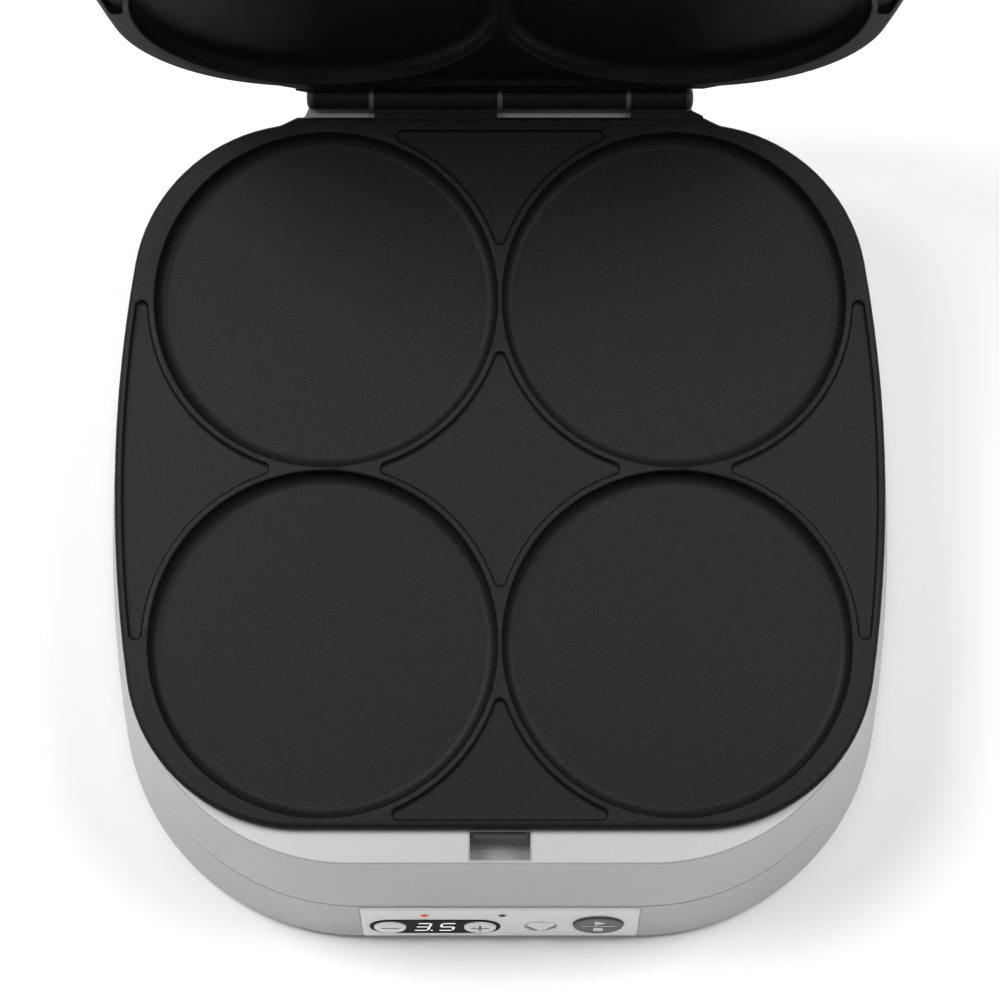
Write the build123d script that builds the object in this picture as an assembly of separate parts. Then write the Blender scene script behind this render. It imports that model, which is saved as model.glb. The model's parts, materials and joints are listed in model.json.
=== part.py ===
from build123d import *
import math
import os

# Four-well pancake maker with a hinged lid, written out with the lid open.
# While modelling, X runs to the user's right, Y to the back and Z up. The hinge axis is the X axis,
# and the two baking plates face each other across Z = 0 when the lid is down. Sizes are millimetres.

# Baking wells
well_diameter = 120.5
well_land = 1.5
well_pitch = well_diameter + well_land
well_depth = 6.0
well_floor_radius = 4.0
well_rim_radius = 0.6
well_draft = 0.4
well_wall = 2.2
well_floor = 3.0

# Baking plates: one casting, used twice
plate_side_border = 12.85
plate_end_border = 3.75
plate_half_width = well_pitch / 2 + well_diameter / 2 + plate_side_border
plate_half_length = well_pitch / 2 + well_diameter / 2 + plate_end_border
plate_corner_radius = 60.0
side_bulge = 16.385
side_radius = (plate_half_length ** 2 + side_bulge ** 2) / (2 * side_bulge)
plate_thickness = 4.85
plate_edge_radius = 2.0
plate_gap = 0.3
plate_to_hinge = 9.0
plate_from_hinge = plate_half_length + plate_to_hinge

# Shallow recesses between the wells
pocket_depth = 2.0
pocket_land = 2.25
pocket_border = 2.7
pocket_corner_radius = 2.2
pocket_floor_radius = 1.3
pocket_rim_radius = 0.5
side_pocket_margin = 1.0

# Hinge
barrel_radius = 4.15
barrel_clearance = 2.45
inner_knuckle_length = 43.5
outer_knuckle_length = 19.5
knuckle_gap = 2.0
land_reach = 3.5
land_flare = 6.1
land_bend_radius = 6.0
pin_radius = 2.0
pin_clearance = 0.05
washer_clearance = 0.15
cap_length = 2.5
cap_clearance = 0.3
opening_angle = 92.0
stop_clearance = 0.28

# Base housing, outline by level
ledge_side_inset = 0.1
ledge_front_border = 11.7
ledge_rear_inset = 0.5
ledge_half_width = plate_half_width - ledge_side_inset
ledge_front = plate_half_length + ledge_front_border
ledge_corner_radius = 78.0
ledge_rear = plate_half_length - ledge_rear_inset
seam_depth = 49.5
seam_side_flare = 6.2
seam_front_flare = 12.6
seam_rear_flare = 6.0
seam_half_width = ledge_half_width + seam_side_flare
seam_front = ledge_front + seam_front_flare
seam_corner_radius = 84.0
seam_rear = ledge_rear + seam_rear_flare
foot_depth = 83.5
foot_side_flare = 6.0
foot_front_flare = 9.3
foot_rear_flare = 5.5
foot_half_width = seam_half_width + foot_side_flare
foot_front = seam_front + foot_front_flare
foot_corner_radius = 89.0
foot_rear = seam_rear + foot_rear_flare
rear_corner_radius = 60.0
wall = 2.4
ledge_edge_radius = 0.8
seam_chamfer = 0.4
seat_overlap = 8.0
seat_clearance = 0.45

# Rear block of the base, below the hinge
deck_half_width = knuckle_gap / 2 + inner_knuckle_length + knuckle_gap + outer_knuckle_length + cap_length
land_half_width = deck_half_width + land_reach
deck_flare_depth = 4.0
deck_reach = 12.0
deck_slope_reach = 7.0
deck_corner_radius = 7.0

# Lid
lid_height = 44.0
lid_draft = 6.0
lid_edge_radius = 9.0
cover_straight = 22.0
cover_height = 36.0
cover_slope_reach = 14.0

# Screws, posts and sheet parts
screw_radius = 2.0
small_screw_radius = 1.25
screw_clearance = 0.15
screw_head_ratio = 1.8
screw_head_rise = 1.2
screw_grip = 12.0
boss_radius = 5.0
boss_height = 18.0
boss_side_inset = 34.1
boss_end_inset = 30.0
boss_spread_x = plate_half_width - boss_side_inset
boss_spread_y = plate_half_length - boss_end_inset
lug_x = 21.0
lug_inset = 13.5
lug_y = plate_half_length - lug_inset
lug_width = 10.0
lug_depth = 8.5
lug_height = 14.0
shell_tube_radius = 5.5
shell_screw_sink = 3.4
post_radius = 6.0
post_shoulder = 6.0
corner_post_radius = 4.5
corner_web = 2.0
front_post_side_inset = 24.0
front_post_end_inset = 28.7
rear_post_side_inset = 27.0
rear_post_end_inset = 20.5
front_post_x = ledge_half_width - front_post_side_inset
front_post_y = ledge_front - front_post_end_inset
rear_post_x = ledge_half_width - rear_post_side_inset
rear_post_y = ledge_rear - rear_post_end_inset
pan_thickness = 2.5
pan_clearance = 0.3
vent_count = 7
vent_length = 46.0
vent_width = 3.2
vent_pitch = 8.0
vent_x = 30.0
vent_y = 20.0
shield_thickness = 0.8
shield_inset = 20.0
shield_rim = 6.0

# Heating elements and what is clipped to the plates
heater_radius = 3.3
heater_bend = 28.0
heater_tail_bend = 8.0
heater_tail_x = 15.0
heater_tail = 16.0
heater_rail_width = 12.0
terminal_radius = 1.4
terminal_length = 9.0
clamp_thickness = 1.2
clamp_width = 9.0
clamp_foot = 8.0
clamp_screw_grip = 2.0
sensor_radius = 5.0
sensor_height = 7.0
sensor_x = 12.0
fuse_radius = 2.2
fuse_length = 14.0
fuse_x = -12.0

# Feet
rubber_foot_radius = 8.0
rubber_foot_height = 4.0
rubber_foot_round = 1.2
rubber_peg_radius = 3.0
front_foot_side_inset = 48.2
front_foot_end_inset = 30.6
rear_foot_side_inset = 58.2
rear_foot_end_inset = 24.0
front_foot_x = foot_half_width - front_foot_side_inset
front_foot_y = foot_front - front_foot_end_inset
rear_foot_x = foot_half_width - rear_foot_side_inset
rear_foot_y = foot_rear - rear_foot_end_inset

# Control panel
panel_width = 100.6
panel_height = 31.0
panel_corner_radius = 1.6
panel_bevel = 0.5
panel_recess = 0.8
panel_thickness = 1.6
panel_clearance = 0.15
panel_opening_margin = 2.2
window_length = 47.5
window_height = 15.2
window_stand = 0.3
window_margin = 1.5
control_row_y = -3.5
small_button_radius = 5.9
extra_button_radius = 5.7
start_button_radius = 9.1
start_y = -1.0
row_room = panel_width - window_length - 2 * extra_button_radius - 2 * start_button_radius
window_share = 0.125
window_gap = window_share * row_room
extra_share = 0.381
extra_gap = extra_share * row_room
start_share = 0.26
start_gap = start_share * row_room
window_x = window_gap + window_length / 2 - panel_width / 2
minus_x = window_x - window_length / 2 + window_margin + small_button_radius
plus_x = window_x + window_length / 2 - window_margin - small_button_radius
extra_x = window_x + window_length / 2 + extra_gap + extra_button_radius
start_x = extra_x + extra_button_radius + start_gap + start_button_radius
button_clearance = 0.3
button_stand = 0.9
button_round = 0.6
button_flange = 1.0
button_travel = 0.8
button_stem_radius = 2.0
lamp_radius = 1.5
lamp_stand = 0.5
lamp_row_y = 9.2
lamp_step = 12.8
power_lamp_x = minus_x + lamp_step
lamp_pitch = 28.0
ready_lamp_x = power_lamp_x + lamp_pitch
display_width = 18.0
display_height = 13.0
board_thickness = 1.6
control_board_depth = 12.0
control_board_margin = 5.7
control_board_width = panel_width + 2 * control_board_margin
control_board_height = 22.0
control_post_inset = 3.5
control_post_x = control_board_width / 2 - control_post_inset
control_post_radius = 3.0
switch_size = 6.2
switch_height = 3.5
plunger_radius = 1.7
plunger_height = 0.9

# Power electronics on the base pan
power_board_x = -45.0
power_board_y = 43.0
power_board_width = 98.0
power_board_length = 64.0
power_board_lift = 6.0
standoff_radius = 3.2
standoff_inset = 4.0

# Components on the power board, placed from the middle of the board
transformer_width = 32.0
transformer_length = 26.0
transformer_height = 26.0
transformer_x = -22.0
transformer_y = 8.0
coil_width = 20.0
coil_length = 36.0
coil_margin = 4.0
terminal_block_width = 14.0
terminal_block_length = 24.0
terminal_block_height = 14.0
terminal_block_x = 36.0
terminal_block_y = 12.0
terminal_pitch = 7.5
terminal_hole_radius = 2.2
terminal_hole_depth = 8.0
relay_width = 16.0
relay_length = 20.0
relay_height = 16.0
relay_x = 12.0
relay_y = 10.0
capacitor_width = 18.0
capacitor_length = 8.0
capacitor_height = 14.0
capacitor_x = 10.0
capacitor_y = -18.0
buzzer_radius = 6.0
buzzer_hole_radius = 1.2
buzzer_height = 8.0
buzzer_x = -30.0
buzzer_y = -22.0

# Latch
recess_width = 20.8
recess_wall = 0.5
recess_depth = 13.0
recess_floor_radius = 4.2
recess_rim = 0.8
keeper_reach = 2.1
keeper_thickness = 1.5
keeper_drop = 1.4
keeper_clearance = 0.3
latch_width = 18.0
latch_thickness = 2.6
latch_pivot_inset = 5.2
latch_pivot_y = ledge_front - latch_pivot_inset
latch_pivot_z = 14.0
latch_hub_radius = 3.4
latch_pin_radius = 1.5
latch_swing = 8.0
latch_tab = 18.0
latch_tongue = 25.4
latch_tongue_offset = 0.3
latch_barb = 2.4
latch_barb_thickness = 2.6
latch_housing_height = 17.0

# Handle
handle_side_inset = 76.0
handle_half_width = ledge_half_width - handle_side_inset
handle_arm_width = 18.0
handle_gap = 21.0
handle_bar_depth = 14.0
handle_low = 8.0
handle_high = 24.0
handle_flange = 3.5
handle_round = 4.0
handle_corner = 7.0
handle_screw_length = 14.0

# Cord entry
gland_radius = 8.0
gland_bore = 4.5
gland_flange_radius = 10.5
gland_flange = 2.5
gland_x = -45.0
gland_rise = 16.0
gland_length = 12.0

# Places worked out from the sizes above
tiny = 0.05
far = 400.0
top = -plate_gap / 2
ledge = top - plate_thickness
seam = -seam_depth
bottom = -foot_depth
pan_top = bottom + pan_thickness
head_bore = screw_head_ratio * screw_radius + 2 * screw_clearance
cup_radius = well_diameter / 2 + well_wall
cup_bottom = top - well_depth - well_floor
boss_bottom = ledge - boss_height
shield_bottom = boss_bottom - shield_thickness
heater_level = cup_bottom - heater_radius
hinge_land = barrel_radius + barrel_clearance
middle = Pos(0, -plate_from_hinge, 0)
well_centres = [(sx * well_pitch / 2, sy * well_pitch / 2) for sx in (-1, 1) for sy in (-1, 1)]
boss_centres = [(0, boss_spread_y), (0, -boss_spread_y), (boss_spread_x, 0), (-boss_spread_x, 0)]
corner_posts = [(sx * x, sy * y) for x, y, sy in
                ((front_post_x, front_post_y, -1), (rear_post_x, rear_post_y, 1)) for sx in (-1, 1)]
ledge_sizes = (ledge_half_width, ledge_front, ledge_corner_radius, ledge_rear, rear_corner_radius)
seam_sizes = (seam_half_width, seam_front, seam_corner_radius, seam_rear, rear_corner_radius)
foot_sizes = (foot_half_width, foot_front, foot_corner_radius, foot_rear, rear_corner_radius)
flip = Rot(0, 180, 0)
open_lid = Rot(-opening_angle, 0, 0)


# Outlines and plain shapes

def corner_centre(half_width, length, corner):
    # Middle of the corner arc between a long side arc and a straight end, and the angle where it starts.
    turn = math.asin((length - corner) / (side_radius - corner))
    return half_width - side_radius + (side_radius - corner) * math.cos(turn), length - corner, turn


def outline(half_width, front, front_corner, rear, rear_corner, inset=0.0):
    # Plan outline about the middle of the plates: long side arcs, corner arcs and straight ends.
    edges = []
    for sy, length, corner in ((-1, front, front_corner), (1, rear, rear_corner)):
        bend_x, bend_y, turn = corner_centre(half_width, length, corner)
        side = side_radius - inset
        bend = corner - inset
        half_turn = (turn + math.pi / 2) / 2
        start_x = half_width - side_radius
        for sx in (-1, 1):
            a = (sx * (half_width - inset), 0)
            b = (sx * (start_x + side * math.cos(turn / 2)), sy * side * math.sin(turn / 2))
            c = (sx * (start_x + side * math.cos(turn)), sy * side * math.sin(turn))
            d = (sx * (bend_x + bend * math.cos(half_turn)), sy * (bend_y + bend * math.sin(half_turn)))
            e = (sx * bend_x, sy * (bend_y + bend))
            edges += [ThreePointArc(a, b, c), ThreePointArc(c, d, e)]
        edges.append(Line((-bend_x, sy * (bend_y + bend)), (bend_x, sy * (bend_y + bend))))
    return make_face(edges)


def plate_outline(inset=0.0):
    return outline(plate_half_width, plate_half_length, plate_corner_radius,
                   plate_half_length, plate_corner_radius, inset)


def band(low, low_face, high, high_face):
    # Solid between two levels, straight from one outline to the other.
    return middle * loft([Pos(0, 0, low) * low_face, Pos(0, 0, high) * high_face], ruled=True)


def upright(face, low, high):
    return Pos(0, 0, low) * extrude(face, high - low)


def tube(radius, bore, low, high):
    return upright(Circle(radius) - Circle(bore), low, high)


def rod(radius, low, high):
    return upright(Circle(radius), low, high)


def across(radius, left, right):
    # Cylinder along X on the hinge axis.
    return Pos(left, 0, 0) * Rot(0, 90, 0) * rod(radius, 0, right - left)


def block(x, y, z):
    # Box given by its two ends along each axis.
    size = [b - a for a, b in (x, y, z)]
    centre = [(a + b) / 2 for a, b in (x, y, z)]
    return Pos(*centre) * Box(*size)


def side_profile(points, half_width):
    # Prism along X from a side view drawn in Y and Z.
    face = make_face(Polyline(*points, close=True))
    return Pos(-half_width, 0, 0) * extrude(Plane.YZ * face, 2 * half_width)


def screw(length, radius=screw_radius):
    # Pan-head screw pointing up, with the underside of its head at zero.
    head = rod(screw_head_ratio * radius, -screw_head_rise * radius, 0)
    head = fillet(head.edges().sort_by(Axis.Z)[0], 0.4 * radius)
    return head + rod(radius, 0, length)


def group(solids):
    return Compound(children=[s for shape in solids for s in shape.solids()])


# Baking plate casting, as it lies in the base with its wells upwards

def pocket_faces():
    # Regions between the wells: one in the middle, two at the sides and one at each end.
    inside = plate_outline(pocket_border)
    for x, y in well_centres:
        inside -= Pos(x, y) * Circle(well_diameter / 2 + pocket_land)
    reach = plate_half_width
    limits = Rectangle(2 * reach, well_pitch - 2 * side_pocket_margin) + Rectangle(well_pitch, 2 * reach)
    pieces = [f for f in (inside & limits).faces() if f.area > well_diameter]
    return [f.fillet_2d(pocket_corner_radius, f.vertices()) for f in pieces]


def well_cut():
    # Round recess with a rounded rim, a steep wall and a filleted floor.
    radius = well_diameter / 2
    floor = top - well_depth
    foot = radius - well_draft
    bend = well_rim_radius * math.sqrt(0.5)
    shoulder = (radius + well_rim_radius, top)
    arc_middle = (shoulder[0] - bend, top - well_rim_radius + bend)
    edges = [Line((0, floor), (foot, floor)),
             Line((foot, floor), (radius, top - well_rim_radius)),
             ThreePointArc((radius, top - well_rim_radius), arc_middle, shoulder),
             Line(shoulder, (shoulder[0], well_depth)),
             Line((shoulder[0], well_depth), (0, well_depth)),
             Line((0, well_depth), (0, floor))]
    face = make_face(edges)
    corner = [v for v in face.vertices() if abs(v.X - foot) < tiny and abs(v.Y - floor) < tiny]
    face = fillet(corner, well_floor_radius)
    return revolve(Plane.XZ * face, Axis.Z)


def heater_path():
    half = well_pitch / 2
    low = heater_level - heater_tail
    points = [(-heater_tail_x, half, low), (-heater_tail_x, half, heater_level), (-half, half, heater_level),
              (-half, -half, heater_level), (half, -half, heater_level), (half, half, heater_level),
              (heater_tail_x, half, heater_level), (heater_tail_x, half, low)]
    radii = [heater_tail_bend] + [heater_bend] * 4 + [heater_tail_bend]
    return FilletPolyline(*points, radius=radii)


def clamp_places():
    half = well_pitch / 2
    rear = (half - heater_bend + heater_tail_x + heater_tail_bend) / 2
    return [(-half, 0, 0), (half, 0, 0), (0, -half, 90), (-rear, half, 90), (rear, half, 90)]


def land_drop():
    # How far the land's slanted side falls before it meets the plate's corner arc.
    bend_x, bend_y, turn = corner_centre(plate_half_width, plate_half_length, plate_corner_radius)
    past_bend = max(land_half_width + land_flare - bend_x, 0)
    return plate_from_hinge - hinge_land - bend_y - math.sqrt(plate_corner_radius ** 2 - past_bend ** 2)


def casting_outline():
    # The plate's outline with the straight land at the back that carries the hinge knuckles.
    # Each side of the land runs down to a point of the plate's corner arc, and as far again inside it.
    land = plate_from_hinge - hinge_land
    foot_x = land_half_width + land_flare
    root_x = foot_x + land_flare
    root_y = land - 2 * land_drop()
    points = [(-root_x, root_y), (-land_half_width, land), (land_half_width, land), (root_x, root_y)]
    face = plate_outline() + make_face(Polyline(*points, close=True))
    bends = [v for v in face.vertices() if v.Y > root_y and abs(abs(v.X) - foot_x) < tiny]
    return fillet(bends, land_bend_radius)


def baking_plate():
    body = upright(casting_outline(), ledge, top)
    rim = body.faces().sort_by(Axis.Z)[-1].outer_wire().edges()
    body = fillet(rim, plate_edge_radius)
    for x, y in well_centres:
        body += Pos(x, y, 0) * rod(cup_radius, cup_bottom, top - well_depth / 2)
    half = well_pitch / 2
    rail = RectangleRounded(2 * half + heater_rail_width, 2 * half + heater_rail_width,
                            heater_bend + heater_rail_width / 2)
    rail -= RectangleRounded(2 * half - heater_rail_width, 2 * half - heater_rail_width,
                             heater_bend - heater_rail_width / 2)
    body += upright(rail, cup_bottom, ledge + 1)
    pad_length = 2 * (heater_radius + clamp_thickness + clamp_foot)
    for x, y, turn in clamp_places():
        body += Pos(x, y, 0) * Rot(0, 0, turn) * upright(Rectangle(pad_length, clamp_width), cup_bottom,
                                                         ledge + 1)
    screw_hole = rod(small_screw_radius + tiny, cup_bottom, cup_bottom + clamp_screw_grip + tiny)
    for x, y in clamp_screw_places():
        body -= Pos(x, y, 0) * screw_hole
    for x, y in boss_centres:
        body += Pos(x, y, 0) * rod(boss_radius, boss_bottom, ledge + 1)
        body -= Pos(x, y, 0) * rod(screw_radius + tiny, boss_bottom, ledge - screw_radius)
    for sx in (-1, 1):
        for sy in (-1, 1):
            lug = upright(Rectangle(lug_width, lug_depth), ledge - lug_height,
                          ledge + 1)
            hole = Rot(90, 0, 0) * rod(screw_radius + tiny, -lug_depth, lug_depth)
            body += Pos(sx * lug_x, sy * lug_y, 0) * lug
            body -= Pos(sx * lug_x, sy * lug_y, ledge - lug_height / 2) * hole
    for x, y in well_centres:
        body -= Pos(x, y, 0) * well_cut()
    for face in pocket_faces():
        cut = upright(face, top - pocket_depth, top + 1)
        floor = cut.faces().sort_by(Axis.Z)[0].edges()
        body -= fillet(floor, pocket_floor_radius)
    pocket_rims = [w.edges() for w in body.faces().sort_by(Axis.Z)[-1].inner_wires() if len(w.edges()) > 2]
    body = fillet([e for edges in pocket_rims for e in edges], pocket_rim_radius)
    body = middle * body
    for low, high in knuckles():
        body += block((low, high), (-hinge_land - 1, 0), (ledge, top))
        body += across(barrel_radius, low, high)
    body += upright(knuckle_flare(), ledge, top)
    return body - across(pin_radius + pin_clearance, -plate_half_width, plate_half_width)


def knuckle_flare():
    # The land's slanted side carried on to the end cap, beside the plate's own outer knuckle.
    slope = land_drop() / land_flare
    reach = hinge_land - barrel_radius - cap_clearance
    end = knuckles()[1][1]
    points = [(end - 1, -hinge_land - 1), (land_half_width, -hinge_land - 1), (land_half_width, -hinge_land),
              (land_half_width - reach / slope, reach - hinge_land), (end - 1, reach - hinge_land)]
    return make_face(Polyline(*points, close=True))


def knuckles():
    # Spans along X of the lower plate's two knuckles: a long one by the middle and a short one at the end.
    inner = (knuckle_gap / 2, knuckle_gap / 2 + inner_knuckle_length)
    outer = (inner[1] + knuckle_gap, inner[1] + knuckle_gap + outer_knuckle_length)
    return [(-inner[1], -inner[0]), outer]


# What is fixed to each plate, as it lies in the base

def heating_element():
    path = heater_path()
    section = Plane(origin=path @ 0, z_dir=path % 0) * Circle(heater_radius)
    body = sweep(section, path=path)
    for sx in (-1, 1):
        foot = heater_level - heater_tail
        pin = rod(terminal_radius, foot - terminal_length, foot)
        body += Pos(sx * heater_tail_x, well_pitch / 2, 0) * pin
    return middle * body


def heater_clamp():
    # Omega strap across the heating tube, with a foot on each side, lying along Y.
    outer = heater_radius + clamp_thickness
    arch = Circle(outer) & (Pos(0, -outer) * Rectangle(2 * outer, 2 * outer))
    arch += Pos(0, heater_radius / 2) * Rectangle(2 * outer, heater_radius)
    foot_line = Rectangle(2 * (outer + clamp_foot), clamp_thickness)
    arch += Pos(0, heater_radius - clamp_thickness / 2) * foot_line
    arch -= Circle(heater_radius) + Pos(0, heater_radius) * Rectangle(2 * heater_radius, 2 * heater_radius)
    strap = Pos(0, clamp_width / 2, 0) * extrude(Plane.XZ * arch, clamp_width)
    for sx in (-1, 1):
        strap -= Pos(sx * (outer + clamp_foot / 2), 0, 0) * rod(small_screw_radius + tiny, 0, outer)
    return strap


def heater_clamps():
    strap = heater_clamp()
    return [middle * Pos(x, y, heater_level) * Rot(0, 0, turn) * strap for x, y, turn in clamp_places()]


def clamp_screw_places():
    offset = heater_radius + clamp_thickness + clamp_foot / 2
    places = []
    for x, y, turn in clamp_places():
        angle = math.radians(turn)
        for s in (-1, 1):
            places.append((x + s * offset * math.cos(angle), y + s * offset * math.sin(angle)))
    return places


def clamp_screws():
    # Short screws through the straps' feet into the plate's rail.
    start = cup_bottom - clamp_thickness
    one = screw(clamp_thickness + clamp_screw_grip, small_screw_radius)
    return [middle * Pos(x, y, start) * one for x, y in clamp_screw_places()]


def temperature_sensor():
    disc = Pos(sensor_x, 0, 0) * rod(sensor_radius, ledge - sensor_height, ledge)
    stem = Pos(sensor_x, 0, 0) * rod(sensor_radius / 2, ledge - 2 * sensor_height, ledge - sensor_height)
    return middle * (disc + stem)


def thermal_fuse():
    barrel = Rot(90, 0, 0) * rod(fuse_radius, -fuse_length / 2, fuse_length / 2)
    leads = Rot(90, 0, 0) * rod(fuse_radius / 3, -fuse_length, fuse_length)
    return middle * Pos(fuse_x, 0, ledge - fuse_radius) * (barrel + leads)


def heat_shield():
    # Tray of thin sheet below the plate, clamped at the four bosses.
    body = upright(plate_outline(shield_inset), shield_bottom, boss_bottom)
    rim = plate_outline(shield_inset) - plate_outline(shield_inset + shield_thickness)
    body += upright(rim, shield_bottom, boss_bottom + shield_rim)
    for x, y in boss_centres:
        body -= Pos(x, y, 0) * rod(screw_radius + screw_clearance, shield_bottom - 1, boss_bottom + 1)
    for sx in (-1, 1):
        hole = rod(1.5 * heater_radius, shield_bottom - 1, boss_bottom + 1)
        body -= Pos(sx * heater_tail_x, well_pitch / 2, 0) * hole
    return middle * body


# Base housing

def deck(low, high, inset=0.0):
    # Block at the back of the base that stands below the hinge, between two levels.
    slope = deck_slope_reach / (ledge - bottom)
    back = [deck_reach + slope * (ledge - z) - inset for z in (low, high)]
    front = -plate_from_hinge / 3
    half = deck_half_width - inset
    prism = side_profile([(front, low), (back[0], low), (back[1], high), (front, high)], half)
    upright_edges = [e for e in prism.edges() if e.center().Y > deck_reach - 2 * inset - 1
                     and abs(e.tangent_at(0.5).Z) > 0.9]
    return fillet(upright_edges, deck_corner_radius - inset)


def deck_flare(side):
    # Corner of the deck beside an end knuckle, curved in from the plate's land to the deck's side.
    inner = (side * deck_half_width, -hinge_land + deck_flare_depth)
    outer = (side * land_half_width, -hinge_land - tiny)
    middle_x = side * (deck_half_width + 0.3 * land_reach)
    curve = ThreePointArc(inner, (middle_x, -hinge_land + 0.4 * deck_flare_depth), outer)
    inside = side * (deck_half_width - 2 * wall)
    return upright(make_face([curve, Line(outer, (outer[0], -2 * hinge_land)),
                              Line((outer[0], -2 * hinge_land), (inside, -2 * hinge_land)),
                              Line((inside, -2 * hinge_land), (inside, inner[1])),
                              Line((inside, inner[1]), inner)]), seam, ledge)


def upper_solid(inset=0.0):
    body = band(seam, outline(*seam_sizes, inset), ledge, outline(*ledge_sizes, inset))
    return body + deck(seam, ledge, inset)


def lower_solid(inset=0.0):
    body = band(bottom, outline(*foot_sizes, inset), seam, outline(*seam_sizes, inset))
    return body + deck(bottom, seam, inset)


def outer_edges(body, level):
    face = [f for f in body.faces() if abs(f.center().Z - level) < tiny and abs(f.normal_at().Z) > 0.9][0]
    return face.outer_wire().edges()


def plate_opening():
    # Way through the ledge for what hangs below the plate's flange.
    body = upright(plate_outline(seat_overlap), ledge - wall - 1, ledge + 1)
    for x, y in well_centres:
        body += Pos(x, y, 0) * rod(cup_radius + seat_clearance, cup_bottom - seat_clearance, ledge + 1)
    return middle * body


def recess_box(clearance=0.0):
    # Outside of the insert in the front of the ledge, where the lid's hook goes in.
    half = recess_width / 2 + recess_wall + clearance
    front = -plate_from_hinge - ledge_front + recess_rim - clearance
    back = -plate_from_hinge - plate_half_length - seat_clearance / 2 + clearance
    low = ledge - recess_depth - recess_wall - clearance
    return block((-half, half), (front, back), (low, ledge))


def latch_recess():
    outer = recess_box()
    box = outer.bounding_box()
    y = (box.min.Y + recess_wall, box.max.Y - recess_wall)
    trough = block((-recess_width / 2, recess_width / 2), y, (ledge - recess_depth, ledge + 1))
    long_edges = trough.edges().filter_by(Axis.X).group_by(Axis.Z)[0]
    return outer - fillet(long_edges, recess_floor_radius)


def latch_keeper():
    # Lip at the back of the recess that the lid's hook catches.
    back = recess_box().bounding_box().max.Y - recess_wall
    high = ledge - keeper_drop
    half = latch_width / 2
    return block((-half, half), (back - keeper_reach, back), (high - keeper_thickness, high))


def corner_post(x, y):
    # Screw post below the ledge, tied to the wall by a web.
    start = cup_bottom - 1 if y > 0 else ledge - wall
    angle = math.degrees(math.atan2(y, x))
    web = block((0, far), (-corner_web / 2, corner_web / 2), (seam, start))
    post = Pos(x, y, 0) * (rod(corner_post_radius, pan_top, start) + Rot(0, 0, angle) * web)
    hole = rod(screw_radius + tiny, pan_top, pan_top + screw_grip + 1)
    return middle * (post - Pos(x, y, 0) * hole)


def upper_housing():
    body = upper_solid()
    body = fillet(outer_edges(body, ledge), ledge_edge_radius)
    body = chamfer(outer_edges(body, seam), seam_chamfer)
    room = block((-far, far), (-far, far), (seam - 1, ledge - wall))
    body -= upper_solid(wall) & room
    body += [deck_flare(side) for side in (-1, 1)]
    body -= plate_opening()
    whole = upper_solid(wall / 2) + lower_solid(wall / 2)
    for x, y in corner_posts:
        body += corner_post(x, y) & whole
    return body - recess_box(tiny)


def panel_plane():
    # Middle of the front wall of the lower band, facing outwards.
    high = Vector(0, -plate_from_hinge - seam_front, seam)
    low = Vector(0, -plate_from_hinge - foot_front, bottom)
    up = (high - low).normalized()
    return Plane(origin=(high + low) / 2, x_dir=(1, 0, 0), z_dir=Vector(1, 0, 0).cross(up))


def on_panel(shape):
    return panel_plane().location * shape


def lower_housing():
    body = lower_solid()
    body = chamfer(outer_edges(body, seam), seam_chamfer)
    room = block((-far, far), (-far, far), (bottom - 1, seam + 1))
    body -= lower_solid(wall) & room
    margin = 2 * panel_opening_margin
    seat = RectangleRounded(panel_width + 2 * panel_clearance, panel_height + 2 * panel_clearance,
                            panel_corner_radius + panel_clearance)
    opening = RectangleRounded(panel_width - margin, panel_height - margin, panel_corner_radius)
    for sx in (-1, 1):
        post = rod(control_post_radius, -control_board_depth, -wall / 2)
        body += on_panel(Pos(sx * control_post_x, 0, 0) * post)
        hole = rod(small_screw_radius, -control_board_depth, -wall - 1)
        body -= on_panel(Pos(sx * control_post_x, 0, 0) * hole)
    body -= on_panel(upright(seat, -panel_recess, 1))
    body -= on_panel(upright(opening, -2 * wall, 1))
    return body - gland_plane().location * rod(gland_radius + screw_clearance, -2 * gland_length, 1)


def gland_plane():
    slope = deck_slope_reach / (ledge - bottom)
    rise = bottom + gland_rise
    back = deck_reach + slope * (ledge - rise)
    return Plane(origin=(gland_x, back, rise), x_dir=(-1, 0, 0), z_dir=(0, 1, slope))


def cord_gland():
    # Empty cord entry in the back wall: a flanged bush with an open bore.
    body = rod(gland_flange_radius, 0, gland_flange) + rod(gland_radius, -gland_length, gland_flange)
    body = fillet(body.edges().sort_by(Axis.Z)[-1], gland_flange / 3)
    return gland_plane().location * (body - rod(gland_bore, -gland_length - 1, gland_flange + 1))


def foot_places():
    return {"front_left": (-front_foot_x, -front_foot_y), "front_right": (front_foot_x, -front_foot_y),
            "rear_left": (-rear_foot_x, rear_foot_y), "rear_right": (rear_foot_x, rear_foot_y)}


def board_corners(inset=standoff_inset):
    x = power_board_width / 2 - inset
    y = power_board_length / 2 - inset
    return [(power_board_x + sx * x, power_board_y + sy * y) for sx in (-1, 1) for sy in (-1, 1)]


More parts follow.
